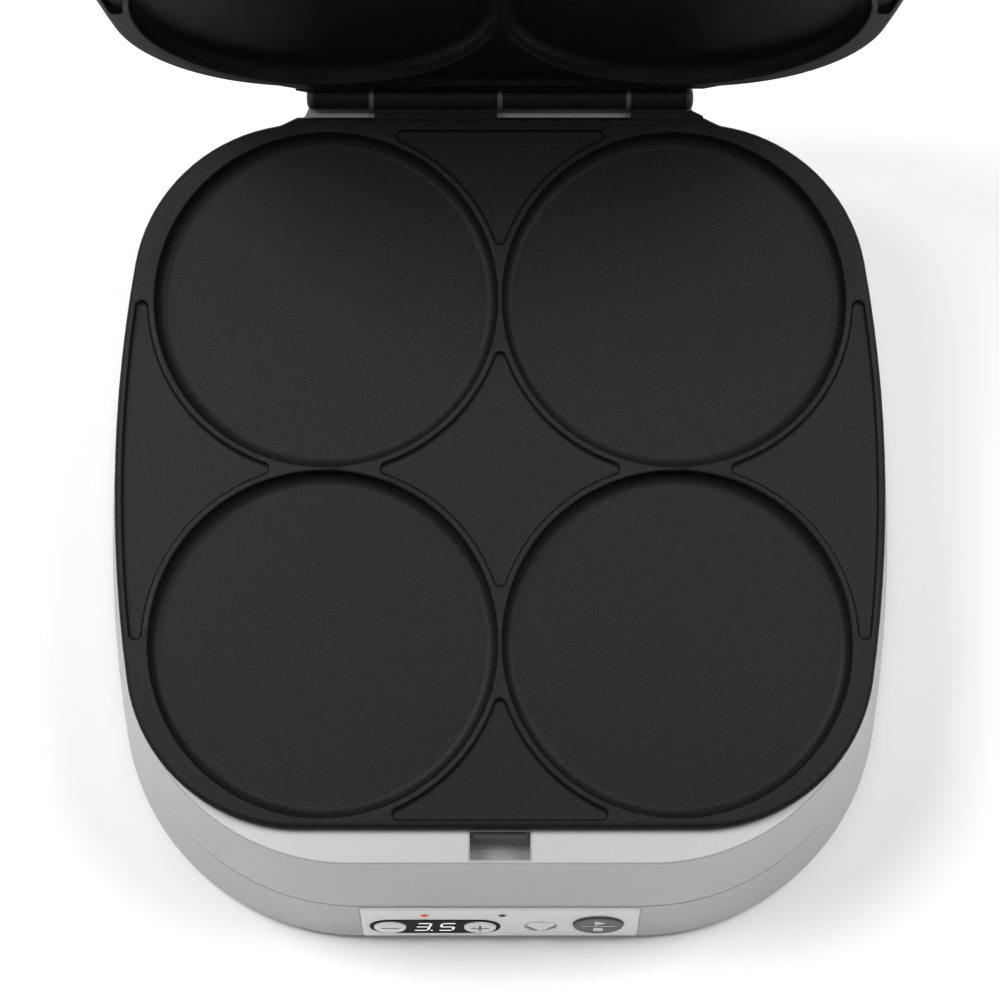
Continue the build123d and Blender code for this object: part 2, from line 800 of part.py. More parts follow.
def base_pan():
    slab = block((-far, far), (-far, far), (bottom, pan_top))
    body = lower_solid(wall + pan_clearance) & slab
    for x, y in boss_centres:
        shoulder = shield_bottom - post_shoulder
        body += middle * Pos(x, y, 0) * rod(post_radius, bottom, shield_bottom)
        body -= middle * Pos(x, y, 0) * rod(screw_radius + screw_clearance, bottom, shield_bottom)
        body -= middle * Pos(x, y, 0) * rod(head_bore, bottom, shoulder)
    for x, y in corner_posts:
        body -= middle * Pos(x, y, 0) * rod(screw_radius + screw_clearance, bottom, pan_top)
    for x, y in foot_places().values():
        body -= middle * Pos(x, y, 0) * rod(rubber_peg_radius, bottom, pan_top)
    standoff = tube(standoff_radius, small_screw_radius, pan_top, pan_top + power_board_lift)
    for x, y in board_corners():
        body += middle * Pos(x, y, 0) * standoff
    for side in (-1, 1):
        for n in range(vent_count):
            vent = upright(SlotOverall(vent_length, vent_width), bottom - 1, pan_top + 1)
            body -= middle * Pos(side * vent_x, -vent_y - n * vent_pitch, 0) * vent
    return body


def rubber_foot(x, y):
    pad = rod(rubber_foot_radius, bottom - rubber_foot_height, bottom)
    pad = fillet(pad.edges().sort_by(Axis.Z)[0], rubber_foot_round)
    return middle * Pos(x, y, 0) * (pad + rod(rubber_peg_radius, bottom, pan_top))


def base_screws():
    return [middle * Pos(x, y, bottom) * screw(pan_thickness + screw_grip) for x, y in corner_posts]


def plate_screws(shoulder):
    # Screws up into the plate's bosses, from a shoulder that lies below the shield.
    length = shoulder + shield_thickness + screw_grip
    return [middle * Pos(x, y, shield_bottom - shoulder) * screw(length) for x, y in boss_centres]


# Control panel, in its own plane: X to the right, Y up the wall and Z outwards

panel_back = -panel_recess
panel_face = panel_back + panel_thickness
flange_top = panel_back - button_clearance
flange_bottom = flange_top - button_flange
stem_end = -control_board_depth + switch_height + plunger_height + button_travel + 2 * tiny
buttons = {"minus_button": (minus_x, control_row_y, small_button_radius),
           "plus_button": (plus_x, control_row_y, small_button_radius),
           "extra_button": (extra_x, control_row_y, extra_button_radius),
           "start_button": (start_x, start_y, start_button_radius)}
lamps = {"power_lamp": power_lamp_x, "ready_lamp": ready_lamp_x}


def window_slot(clearance, low, high):
    slot = SlotOverall(window_length + 2 * clearance, window_height + 2 * clearance)
    return Pos(window_x, control_row_y, 0) * upright(slot, low, high)


def panel_plate():
    body = upright(RectangleRounded(panel_width, panel_height, panel_corner_radius), panel_back, panel_face)
    body = chamfer(body.faces().sort_by(Axis.Z)[-1].edges(), panel_bevel)
    body -= window_slot(panel_clearance, panel_back, panel_face)
    for name in ("extra_button", "start_button"):
        x, y, radius = buttons[name]
        body -= Pos(x, y, 0) * rod(radius + button_clearance, panel_back, panel_face)
    for x in lamps.values():
        body -= Pos(x, lamp_row_y, 0) * rod(lamp_radius + panel_clearance, panel_back, panel_face)
    return on_panel(body)


def display_window():
    body = window_slot(0, panel_back, panel_face + window_stand)
    for name in ("minus_button", "plus_button"):
        x, y, radius = buttons[name]
        body -= Pos(x, y, 0) * rod(radius + button_clearance, panel_back, panel_face + window_stand)
    return on_panel(body)


def button(x, y, radius):
    crown = rod(radius, flange_top, panel_face + button_stand)
    crown = fillet(crown.edges().sort_by(Axis.Z)[-1], button_round)
    body = crown + rod(radius + button_flange, flange_bottom, flange_top)
    return on_panel(Pos(x, y, 0) * (body + rod(button_stem_radius, stem_end, flange_bottom)))


def lamp(x):
    body = rod(lamp_radius, -control_board_depth, panel_face + lamp_stand)
    body = fillet(body.edges().sort_by(Axis.Z)[-1], 0.8 * lamp_radius)
    return on_panel(Pos(x, lamp_row_y, 0) * body)


def display_module():
    body = upright(Rectangle(display_width, display_height), -control_board_depth, panel_back - tiny)
    return on_panel(Pos(window_x, control_row_y, 0) * body)


def control_board():
    low = -control_board_depth - board_thickness
    body = upright(Rectangle(control_board_width, control_board_height), low, -control_board_depth)
    for sx in (-1, 1):
        body -= Pos(sx * control_post_x, 0, 0) * rod(small_screw_radius + screw_clearance, low - 1, 0)
    return on_panel(body)


def control_board_screws():
    turn = Pos(0, 0, -control_board_depth - board_thickness)
    one = turn * screw(board_thickness + switch_height, small_screw_radius)
    return [on_panel(Pos(sx * control_post_x, 0, 0) * one) for sx in (-1, 1)]


def button_switches():
    base = -control_board_depth
    one = upright(Rectangle(switch_size, switch_size), base, base + switch_height)
    one += rod(plunger_radius, base + switch_height, base + switch_height + plunger_height)
    return [on_panel(Pos(x, y, 0) * one) for x, y, radius in buttons.values()]


# Power electronics on the base pan

def on_board(x, y, shape):
    # Places a component by its distance from the middle of the power board.
    face = pan_top + power_board_lift + board_thickness
    return middle * Pos(power_board_x + x, power_board_y + y, face) * shape


def power_board():
    low = pan_top + power_board_lift
    sheet = Rectangle(power_board_width, power_board_length)
    body = Pos(power_board_x, power_board_y, 0) * upright(sheet, low, low + board_thickness)
    for x, y in board_corners():
        body -= Pos(x, y, 0) * rod(small_screw_radius + screw_clearance, low - 1, low + 4)
    return middle * body


def board_screws():
    face = pan_top + power_board_lift + board_thickness
    one = Rot(180, 0, 0) * screw(board_thickness + power_board_lift - 1, small_screw_radius)
    return [middle * Pos(x, y, face) * one for x, y in board_corners()]


def transformer():
    core = upright(Rectangle(transformer_width, transformer_length), 0, transformer_height)
    coil = upright(Rectangle(coil_width, coil_length), coil_margin, transformer_height - coil_margin)
    return on_board(transformer_x, transformer_y, core + coil)


def terminal_block():
    body = upright(Rectangle(terminal_block_width, terminal_block_length), 0, terminal_block_height)
    for n in (-1, 0, 1):
        hole = rod(terminal_hole_radius, terminal_block_height - terminal_hole_depth, terminal_block_height)
        body -= Pos(0, n * terminal_pitch, 0) * hole
    return on_board(terminal_block_x, terminal_block_y, body)


def relay():
    return on_board(relay_x, relay_y, upright(Rectangle(relay_width, relay_length), 0, relay_height))


def capacitor():
    body = upright(Rectangle(capacitor_width, capacitor_length), 0, capacitor_height)
    return on_board(capacitor_x, capacitor_y, body)


def buzzer():
    return on_board(buzzer_x, buzzer_y, tube(buzzer_radius, buzzer_hole_radius, 0, buzzer_height))


# Hinge

def hinge_end():
    return knuckles()[1][1]


def hinge_pin():
    return across(pin_radius, -hinge_end(), hinge_end())


def hinge_washers():
    half = knuckle_gap / 2 - washer_clearance
    pitch = inner_knuckle_length + knuckle_gap
    rings = []
    for x in (-pitch, 0, pitch):
        ring = across(barrel_radius - 2 * tiny, x - half, x + half)
        rings.append(ring - across(pin_radius + pin_clearance, x - half, x + half))
    return rings


def hinge_cap(side):
    body = rod(barrel_radius, 0, cap_length)
    body = fillet(body.edges().sort_by(Axis.Z)[-1], cap_length - 4 * tiny)
    return Pos(side * hinge_end(), 0, 0) * Rot(0, side * 90, 0) * body


# Lid, modelled closed

rim = -ledge


def lid_solid(inset=0.0):
    high = lid_height - inset
    body = band(rim, outline(*ledge_sizes, inset), high, outline(*ledge_sizes, inset + lid_draft))
    body = fillet(outer_edges(body, high), lid_edge_radius - inset)
    back = deck_level_reach() - inset
    front = -plate_from_hinge / 3
    cover = side_profile([(front, rim), (back, rim), (back, cover_straight - inset),
                          (back - cover_slope_reach, cover_height - inset), (front, cover_height - inset)],
                         deck_half_width - inset)
    corners = [e for e in cover.edges().filter_by(Axis.Z) if e.center().Y > 0]
    return body + fillet(corners, deck_corner_radius - inset)


def deck_level_reach():
    # How far the lid's back wall stands behind the hinge: it comes to rest on the deck when the lid is open.
    lean = math.radians(opening_angle - 90)
    return (-ledge - stop_clearance - deck_reach * math.sin(lean)) / math.cos(lean)


def latch_room(clearance=0.0):
    # Space of the latch housing, open through the lid's front wall.
    half = recess_width / 2 + recess_wall + clearance
    back = -plate_from_hinge - plate_half_length - seat_clearance / 2 + clearance
    high = rim + latch_housing_height + recess_wall + clearance
    return block((-half, half), (-far, back), (rim - 1, high))


def shell_tube_seat(sy):
    # Distance from the plate's middle to where a shell screw's head sits.
    if sy < 0:
        return ledge_front - lid_draft / 3 - shell_screw_sink
    return plate_from_hinge + deck_level_reach() - shell_screw_sink


def shell_screw_level():
    return rim + lug_height / 2


def lid_shell():
    outer = lid_solid()
    room = block((-far, far), (-far, far), (rim + wall, far))
    body = outer - (lid_solid(wall) & room)
    body -= Rot(0, 180, 0) * plate_opening()
    for sx in (-1, 1):
        for sy in (-1, 1):
            lug_face = lug_y + lug_depth / 2
            tube_body = rod(shell_tube_radius, lug_face, plate_from_hinge + 20)
            hole = rod(screw_radius + screw_clearance, lug_face - 1, far)
            sink = rod(head_bore, shell_tube_seat(sy), far)
            place = middle * Pos(sx * lug_x, 0, shell_screw_level()) * Rot(-90 * sy, 0, 0)
            body += (place * tube_body) & outer
            body -= place * (hole + sink)
    for sx in (-1, 1):
        body -= handle_screw_place(sx) * rod(screw_radius + screw_clearance, -1, 2 * wall)
    return body - latch_room(tiny)


def shell_screws():
    lug_face = lug_y + lug_depth / 2
    screws = []
    for sx in (-1, 1):
        for sy in (-1, 1):
            seat = shell_tube_seat(sy)
            one = Pos(0, 0, seat) * Rot(180, 0, 0) * screw(seat - lug_face + lug_depth - 1)
            screws.append(middle * Pos(sx * lug_x, 0, shell_screw_level()) * Rot(-90 * sy, 0, 0) * one)
    return screws


def handle_screw_place(sx):
    # On the inner face of the lid's front wall, pointing out into a handle arm.
    level = (handle_low + handle_high) / 2
    lean = math.atan2(lid_draft, lid_height - wall - rim)
    back = ledge_front - wall - tiny - math.tan(lean) * (level - rim)
    x = handle_half_width - handle_arm_width / 2
    return middle * Pos(sx * x, -back, level) * Rot(90 + math.degrees(-lean), 0, 0)


def handle_screws():
    return [handle_screw_place(sx) * screw(handle_screw_length) for sx in (-1, 1)]


def lid_handle():
    # Bail across the front of the lid, on two arms with a flange against the wall between them.
    half = handle_half_width
    face_y = -plate_from_hinge - ledge_front
    wall_line = face_y + 2 * lid_draft
    bar_back = face_y - handle_gap
    bar_front = bar_back - handle_bar_depth
    inner = half - handle_arm_width
    bail = Polyline((-half, wall_line), (-half, bar_front), (half, bar_front), (half, wall_line),
                    (inner, wall_line), (inner, bar_back), (-inner, bar_back), (-inner, wall_line), close=True)
    face = make_face(bail).face()
    corners = [v for v in face.vertices() if v.Y < wall_line - 1]
    body = upright(face.fillet_2d(handle_corner, corners), handle_low, handle_high)
    rims = [e for e in body.edges() if abs(e.tangent_at(0.5).Z) < tiny and e.center().Y < wall_line - 1]
    body = fillet(rims, handle_round)
    body += block((-half, half), (face_y - handle_flange, wall_line), (handle_low, handle_high))
    body -= lid_solid()
    body -= latch_room(recess_wall) & block((-half, half), (bar_back, 0), (0, far))
    for sx in (-1, 1):
        body -= handle_screw_place(sx) * rod(screw_radius + tiny, 0, handle_screw_length + 1)
    return body


def latch_housing():
    # Cup in the lid's front that holds the latch, open below and in front.
    outer = latch_room() & lid_solid(wall / 3)
    half = recess_width / 2
    room = block((-half, half), (-far, latch_back()), (-far, rim + latch_housing_height))
    place = Pos(0, -plate_from_hinge - latch_pivot_y, latch_pivot_z)
    return outer - room - place * across(latch_pin_radius + pin_clearance, -latch_width, latch_width)


def latch_back():
    return -plate_from_hinge - plate_half_length - seat_clearance / 2 - recess_wall


def latch_pin():
    half = recess_width / 2 + recess_wall
    return Pos(0, -plate_from_hinge - latch_pivot_y, latch_pivot_z) * across(latch_pin_radius, -half, half)


def lid_latch():
    # Lever seen from the side about its pivot, hooked; it is returned in its free position.
    tongue_front = latch_tongue_offset
    tongue_back = tongue_front + latch_thickness
    hook_high = ledge - keeper_drop - keeper_thickness - keeper_clearance - latch_pivot_z
    barb_tip = tongue_back + latch_barb
    tongue = Polyline((tongue_front, 0), (tongue_front, -latch_tongue),
                      (tongue_back + latch_barb / 2, -latch_tongue),
                      (barb_tip, hook_high - latch_barb_thickness / 2), (barb_tip, hook_high),
                      (tongue_back, hook_high), (tongue_back, 0), close=True)
    tab = Pos(-latch_tab / 2, 0) * Rectangle(latch_tab, latch_thickness)
    face = make_face(tongue) + tab + Circle(latch_hub_radius)
    body = Pos(-latch_width / 2, 0, 0) * extrude(Plane.YZ * face, latch_width)
    tip = body.edges().filter_by(Axis.X).sort_by(Axis.Y)[:2]
    body = fillet(tip, latch_thickness / 2 - tiny)
    body -= across(latch_pin_radius + pin_clearance, -latch_width, latch_width)
    return Pos(0, -plate_from_hinge - latch_pivot_y, latch_pivot_z) * Rot(-latch_swing, 0, 0) * body


# All pieces by name, with the lid's pieces turned open about the hinge

def build_nodes():
    plate = baking_plate()
    element = heating_element()
    shield = heat_shield()
    base = {
        "base_pan": base_pan(),
        "lower_housing": lower_housing(),
        "upper_housing": upper_housing(),
        "lower_baking_plate": plate,
        "lower_heating_element": element,
        "lower_heater_clamps": group(heater_clamps()),
        "lower_clamp_screws": group(clamp_screws()),
        "lower_heat_shield": shield,
        "lower_plate_screws": group(plate_screws(post_shoulder)),
        "temperature_sensor": temperature_sensor(),
        "lower_thermal_fuse": thermal_fuse(),
        "base_screws": group(base_screws()),
        "power_board": power_board(),
        "board_screws": group(board_screws()),
        "transformer": transformer(),
        "heater_relay": relay(),
        "filter_capacitor": capacitor(),
        "terminal_block": terminal_block(),
        "buzzer": buzzer(),
        "control_board": control_board(),
        "control_board_screws": group(control_board_screws()),
        "button_switches": group(button_switches()),
        "display_module": display_module(),
        "display_window": display_window(),
        "panel_plate": panel_plate(),
        "latch_recess": latch_recess(),
        "latch_keeper": latch_keeper(),
        "cord_gland": cord_gland(),
        "hinge_pin": hinge_pin(),
        "hinge_washers": group(hinge_washers()),
        "right_hinge_cap": hinge_cap(1),
    }
    for name, (x, y) in foot_places().items():
        base[name + "_foot"] = rubber_foot(x, y)
    for name, (x, y, radius) in buttons.items():
        base[name] = button(x, y, radius)
    for name, x in lamps.items():
        base[name] = lamp(x)
    lid = {
        "upper_baking_plate": flip * plate,
        "upper_heating_element": flip * element,
        "upper_heater_clamps": group([flip * s for s in heater_clamps()]),
        "upper_clamp_screws": group([flip * s for s in clamp_screws()]),
        "upper_heat_shield": flip * shield,
        "upper_shield_screws": group([flip * s for s in plate_screws(0)]),
        "upper_thermal_fuse": flip * thermal_fuse(),
        "lid_shell": lid_shell(),
        "lid_shell_screws": group(shell_screws()),
        "lid_handle": lid_handle(),
        "handle_screws": group(handle_screws()),
        "latch_housing": latch_housing(),
        "latch_pin": latch_pin(),
        "lid_latch": lid_latch(),
        "left_hinge_cap": hinge_cap(-1),
    }
    return {**base, **{name: open_lid * shape for name, shape in lid.items()}}


def main():
    # Writes every piece, moved so that the origin lies below the middle of the whole and on the table.
    nodes = build_nodes()
    box = Compound(children=[s for shape in nodes.values() for s in shape.solids()]).bounding_box()
    place = Pos(-(box.min.X + box.max.X) / 2, -(box.min.Y + box.max.Y) / 2, -box.min.Z)
    os.makedirs("parts", exist_ok=True)
    for name, shape in nodes.items():
        export_step(place * shape, f"parts/{name}.step")
    hinge = place.position
    print("hinge axis along X through", [round(v, 3) for v in hinge])
    print("size", [round(v, 2) for v in box.size])
    print("panel normal", [round(v, 5) for v in panel_plane().z_dir])
    pivot = (place * open_lid * Pos(0, -plate_from_hinge - latch_pivot_y, latch_pivot_z)).position
    print("latch pivot", [round(v, 3) for v in pivot])


if __name__ == "__main__":
    main()
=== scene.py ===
import json
import math
import bpy
import bmesh
from mathutils import Matrix, Vector


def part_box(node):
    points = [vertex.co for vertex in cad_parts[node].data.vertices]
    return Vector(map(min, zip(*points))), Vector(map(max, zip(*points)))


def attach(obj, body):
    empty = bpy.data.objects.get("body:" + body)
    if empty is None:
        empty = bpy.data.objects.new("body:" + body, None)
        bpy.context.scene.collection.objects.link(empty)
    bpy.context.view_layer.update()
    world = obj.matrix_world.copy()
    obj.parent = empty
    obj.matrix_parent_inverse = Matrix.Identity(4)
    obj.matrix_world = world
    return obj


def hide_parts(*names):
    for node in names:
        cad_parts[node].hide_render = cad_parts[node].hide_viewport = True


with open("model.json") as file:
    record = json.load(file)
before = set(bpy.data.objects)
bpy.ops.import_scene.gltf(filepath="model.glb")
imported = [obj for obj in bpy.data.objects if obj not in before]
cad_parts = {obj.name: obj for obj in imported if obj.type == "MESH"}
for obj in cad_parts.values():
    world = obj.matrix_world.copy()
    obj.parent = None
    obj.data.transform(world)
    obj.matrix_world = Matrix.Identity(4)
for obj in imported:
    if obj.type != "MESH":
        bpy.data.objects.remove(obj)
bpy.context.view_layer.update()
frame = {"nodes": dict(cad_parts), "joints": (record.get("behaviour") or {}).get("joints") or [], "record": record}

print("frame loaded:", len(frame["nodes"]), "nodes")

mm = 0.001
hinge = {joint["name"]: joint for joint in frame["joints"]}["lid_hinge"]
hingePoint = Vector(hinge["pos_m"])
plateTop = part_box("lower_baking_plate")[1].z


# Materials: a small layer over the node tree, so that masks are written as sums and products

class Value:
    def __init__(self, finish, socket):
        self.finish = finish
        self.socket = socket

    def apply(self, operation, first, second=0.0, clamp=False):
        settings = {"operation": operation, "use_clamp": clamp}
        node = self.finish.add("ShaderNodeMath", settings, {0: first, 1: second})
        return Value(self.finish, node.outputs[0])

    def __add__(self, other): return self.apply("ADD", self, other)
    def __radd__(self, other): return self.apply("ADD", other, self)
    def __sub__(self, other): return self.apply("SUBTRACT", self, other)
    def __rsub__(self, other): return self.apply("SUBTRACT", other, self)
    def __mul__(self, other): return self.apply("MULTIPLY", self, other)
    def __rmul__(self, other): return self.apply("MULTIPLY", other, self)
    def clamped(self): return self.apply("ADD", self, 0.0, clamp=True)
    def over(self, limit): return self.apply("GREATER_THAN", self, limit)


class Finish:
    def __init__(self, name, colour, roughness, metallic=0.0):
        self.material = bpy.data.materials.new(name)
        self.material.use_nodes = True
        self.tree = self.material.node_tree
        self.tree.nodes.clear()
        sockets = {"Base Color": (*colour, 1), "Roughness": roughness, "Metallic": metallic}
        self.shader = self.add("ShaderNodeBsdfPrincipled", {}, sockets)
        self.add("ShaderNodeOutputMaterial", {}, {"Surface": self.shader.outputs[0]})
        self.material.diffuse_color = (*colour, 1)

    def add(self, kind, settings, sockets):
        node = self.tree.nodes.new(kind)
        for name, value in settings.items():
            if name == "stops":
                for n, (place, shade) in enumerate(value):
                    stop = node.color_ramp.elements[n] if n < 2 else node.color_ramp.elements.new(place)
                    stop.position = place
                    stop.color = (shade, shade, shade, 1)
            else:
                setattr(node, name, value)
        for name, value in sockets.items():
            if isinstance(value, Value):
                value = value.socket
            if isinstance(value, bpy.types.NodeSocket):
                self.tree.links.new(value, node.inputs[name])
            else:
                node.inputs[name].default_value = value
        return node

    def link(self, name, value):
        socket = value.socket if isinstance(value, Value) else value
        self.tree.links.new(socket, self.shader.inputs[name])

    def place(self, stretch=(1, 1, 1)):
        where = self.add("ShaderNodeTexCoord", {}, {})
        sockets = {"Vector": where.outputs["Object"], "Scale": stretch}
        return self.add("ShaderNodeMapping", {}, sockets).outputs[0]

    def noise(self, perMetre, detail=2.0, roughness=0.5, stretch=(1, 1, 1)):
        sockets = {"Vector": self.place(stretch), "Scale": perMetre, "Detail": detail, "Roughness": roughness}
        return Value(self, self.add("ShaderNodeTexNoise", {}, sockets).outputs[0])

    def cells(self, perMetre):
        sockets = {"Vector": self.place(), "Scale": perMetre}
        node = self.add("ShaderNodeTexVoronoi", {"feature": "F1"}, sockets)
        return Value(self, node.outputs["Distance"])

    def ramp(self, factor, stops):
        node = self.add("ShaderNodeValToRGB", {"stops": stops}, {0: factor})
        return Value(self, node.outputs[0])

    def blend(self, factor, first, second):
        sockets = {0: factor, 6: (*first, 1) if isinstance(first, tuple) else first, 7: (*second, 1)}
        return self.add("ShaderNodeMix", {"data_type": "RGBA"}, sockets).outputs[2]

    def bump(self, height, strength, depth):
        sockets = {"Height": height, "Strength": strength, "Distance": depth}
        return self.add("ShaderNodeBump", {}, sockets).outputs[0]


silver = {"colour": (0.47, 0.47, 0.475), "dark": (0.41, 0.41, 0.415), "roughness": 0.38, "metallic": 0.4,
          "flake": 2600, "waviness": 18, "flakeDepth": 0.00002}

def silverPaint(name="silver_paint", look=silver):
    finish = Finish(name, look["colour"], look["roughness"], look["metallic"])
    flake = finish.noise(look["flake"], 2)
    drift = finish.noise(look["waviness"], 2)
    mix = (flake * 0.6 + drift * 0.4).clamped()
    finish.link("Base Color", finish.blend(mix, look["dark"], look["colour"]))
    finish.link("Roughness", look["roughness"] - 0.06 + flake * 0.08 + drift * 0.05)
    finish.link("Normal", finish.bump(flake, 0.25, look["flakeDepth"]))
    return finish.material


coating = {"colour": (0.019, 0.019, 0.0194), "dark": (0.004, 0.004, 0.0042), "roughness": 0.38,
           "specular": 0.1, "grain": 2200, "grainDepth": 0.00007, "grainEnds": (0.35, 0.65), "speckle": 2400,
           "speckleLimit": 0.64, "sheen": 22}

def nonStickCoating():
    # Sprayed coating: a fine orange peel with tiny lighter specks and a slow change of gloss
    finish = Finish("non_stick_coating", coating["colour"], coating["roughness"])
    low, high = coating["grainEnds"]
    peel = finish.ramp(finish.noise(coating["grain"], 3, 0.6), ((low, 0.0), (high, 1.0)))
    specks = finish.noise(coating["speckle"], 1).over(coating["speckleLimit"])
    drift = finish.noise(coating["sheen"], 2)
    mix = (peel * 0.5 + specks * 0.9 + drift * 0.1).clamped()
    finish.link("Base Color", finish.blend(mix, coating["dark"], coating["colour"]))
    finish.shader.inputs["Specular IOR Level"].default_value = coating["specular"]
    finish.link("Roughness", coating["roughness"] - 0.06 + peel * 0.08 + drift * 0.06)
    finish.link("Normal", finish.bump(peel, 0.55, coating["grainDepth"]))
    return finish.material


def mouldedPlastic(name, colour, roughness, grain=1400, depth=0.00005):
    # Injection-moulded skin with a fine spark-eroded texture
    finish = Finish(name, colour, roughness)
    skin = finish.noise(grain, 3, 0.6)
    drift = finish.noise(30, 2)
    dark = tuple(c * 0.82 for c in colour)
    finish.link("Base Color", finish.blend((skin * 0.6 + drift * 0.4).clamped(), dark, colour))
    finish.link("Roughness", roughness - 0.05 + skin * 0.08 + drift * 0.04)
    finish.link("Normal", finish.bump(skin, 0.4, depth))
    return finish.material


def glossPlastic(name, colour, roughness, coat=0.0, specular=0.5):
    finish = Finish(name, colour, roughness)
    finish.shader.inputs["Specular IOR Level"].default_value = specular
    drift = finish.noise(160, 3)
    dark = tuple(c * 0.93 for c in colour)
    finish.link("Base Color", finish.blend(drift, dark, colour))
    finish.link("Roughness", roughness - 0.02 + drift * 0.05)
    finish.shader.inputs["Coat Weight"].default_value = coat
    return finish.material


def turnedMetal(name, colour, roughness, scratches=(1, 30, 30), perMetre=220):
    finish = Finish(name, colour, roughness, 1.0)
    lines = finish.noise(perMetre, 4, 0.6, scratches)
    finish.link("Base Color", finish.blend(lines, tuple(c * 0.75 for c in colour), colour))
    finish.link("Roughness", roughness - 0.08 + lines * 0.16)
    finish.link("Normal", finish.bump(lines, 0.3, 0.00004))
    return finish.material


zinc = {"colour": (0.55, 0.56, 0.58), "dark": (0.42, 0.43, 0.45), "light": (0.62, 0.63, 0.65), "spangle": 160,
        "grain": 600}

def zincSheet():
    # Spangled galvanizing: patches of slightly different grey
    finish = Finish("zinc_sheet", zinc["colour"], 0.38, 0.9)
    spangle = finish.cells(zinc["spangle"])
    grain = finish.noise(zinc["grain"], 2)
    mix = (spangle * 0.8 + grain * 0.3).clamped()
    finish.link("Base Color", finish.blend(mix, zinc["dark"], zinc["light"]))
    finish.link("Roughness", 0.3 + spangle * 0.18)
    return finish.material


sheath = {"colour": (0.24, 0.21, 0.19), "blue": (0.13, 0.12, 0.15), "brown": (0.36, 0.29, 0.22), "tint": 45}

def heaterSheath():
    # Bright tube tinted brown and blue by heat
    finish = Finish("heater_sheath", sheath["colour"], 0.4, 0.9)
    tint = finish.noise(sheath["tint"], 3)
    finish.link("Base Color", finish.blend(tint, sheath["blue"], sheath["brown"]))
    finish.link("Roughness", 0.3 + tint * 0.2)
    return finish.material


rubber = {"colour": (0.035, 0.035, 0.036), "dark": (0.025, 0.025, 0.026), "dusty": (0.05, 0.05, 0.05),
          "dust": 900, "depth": 0.00008}

def softRubber():
    finish = Finish("soft_rubber", rubber["colour"], 0.75)
    dust = finish.noise(rubber["dust"], 3)
    finish.link("Base Color", finish.blend(dust, rubber["dark"], rubber["dusty"]))
    finish.link("Normal", finish.bump(dust, 0.5, rubber["depth"]))
    return finish.material


board = {"colour": (0.01, 0.09, 0.035), "mask": (0.01, 0.07, 0.03), "track": (0.03, 0.14, 0.05), "cells": 420,
         "limit": 0.55, "depth": 0.00005}

def circuitBoard():
    # Green mask with slightly raised tracks
    finish = Finish("circuit_board", board["colour"], 0.35)
    tracks = finish.cells(board["cells"]).over(board["limit"])
    finish.link("Base Color", finish.blend(tracks, board["mask"], board["track"]))
    finish.link("Normal", finish.bump(tracks, 0.3, board["depth"]))
    return finish.material


core = {"colour": (0.1, 0.075, 0.06), "dark": (0.06, 0.045, 0.04), "light": (0.18, 0.12, 0.08), "layers": 500,
        "stretch": (0.05, 0.05, 4), "depth": 0.0001}

def woundCore():
    # Varnished laminations: fine layers across the height
    finish = Finish("wound_core", core["colour"], 0.45, 0.5)
    layers = finish.noise(core["layers"], 2, 0.5, core["stretch"])
    finish.link("Base Color", finish.blend(layers, core["dark"], core["light"]))
    finish.link("Normal", finish.bump(layers, 0.4, core["depth"]))
    return finish.material


def litGlass(name, colour, glow):
    finish = Finish(name, colour, 0.12)
    inner = finish.noise(700, 2)
    bright = tuple(min(1.0, c * 1.4) for c in colour)
    finish.link("Base Color", finish.blend(inner, colour, bright))
    finish.shader.inputs["Coat Weight"].default_value = 0.6
    finish.shader.inputs["Emission Color"].default_value = (*colour, 1)
    finish.shader.inputs["Emission Strength"].default_value = glow
    return finish.material


panelSilver = {**silver, "colour": (0.93, 0.935, 0.93), "dark": (0.89, 0.895, 0.89), "metallic": 0.1}

finishes = {
    "silver": silverPaint(),
    "coating": nonStickCoating(),
    "blackPlastic": mouldedPlastic("black_plastic", (0.022, 0.022, 0.023), 0.48),
    "greyPlastic": mouldedPlastic("dark_grey_plastic", (0.085, 0.087, 0.09), 0.38),
    "panel": silverPaint("panel_silver", panelSilver),
    "recess": mouldedPlastic("recess_grey", (0.34, 0.34, 0.345), 0.34),
    "window": glossPlastic("window_black", (0.003, 0.003, 0.0035), 0.15, specular=0.012),
    "silverButton": glossPlastic("bright_button", (0.93, 0.93, 0.93), 0.16, 0.5),
    "whiteButton": glossPlastic("white_button", (0.93, 0.93, 0.93), 0.14, 0.6),
    "greyButton": mouldedPlastic("grey_button", (0.055, 0.057, 0.06), 0.4, 1800, 0.00002),
    "redLens": litGlass("red_lens", (0.62, 0.012, 0.01), 0.35),
    "darkLens": litGlass("dark_lens", (0.03, 0.006, 0.006), 0.0),
    "digits": litGlass("lit_digits", (0.92, 0.94, 0.96), 0.7),
    "inkDark": glossPlastic("dark_ink", (0.03, 0.03, 0.032), 0.35),
    "inkLight": glossPlastic("light_ink", (0.82, 0.82, 0.82), 0.35),
    "steel": turnedMetal("bright_steel", (0.56, 0.56, 0.57), 0.28),
    "zinc": zincSheet(),
    "sheath": heaterSheath(),
    "rubber": softRubber(),
    "board": circuitBoard(),
    "component": mouldedPlastic("component_case", (0.04, 0.04, 0.045), 0.4, 900),
    "core": woundCore(),
    "ceramic": glossPlastic("glazed_ceramic", (0.75, 0.73, 0.68), 0.25, 0.3),
}
print("materials made:", len(finishes))

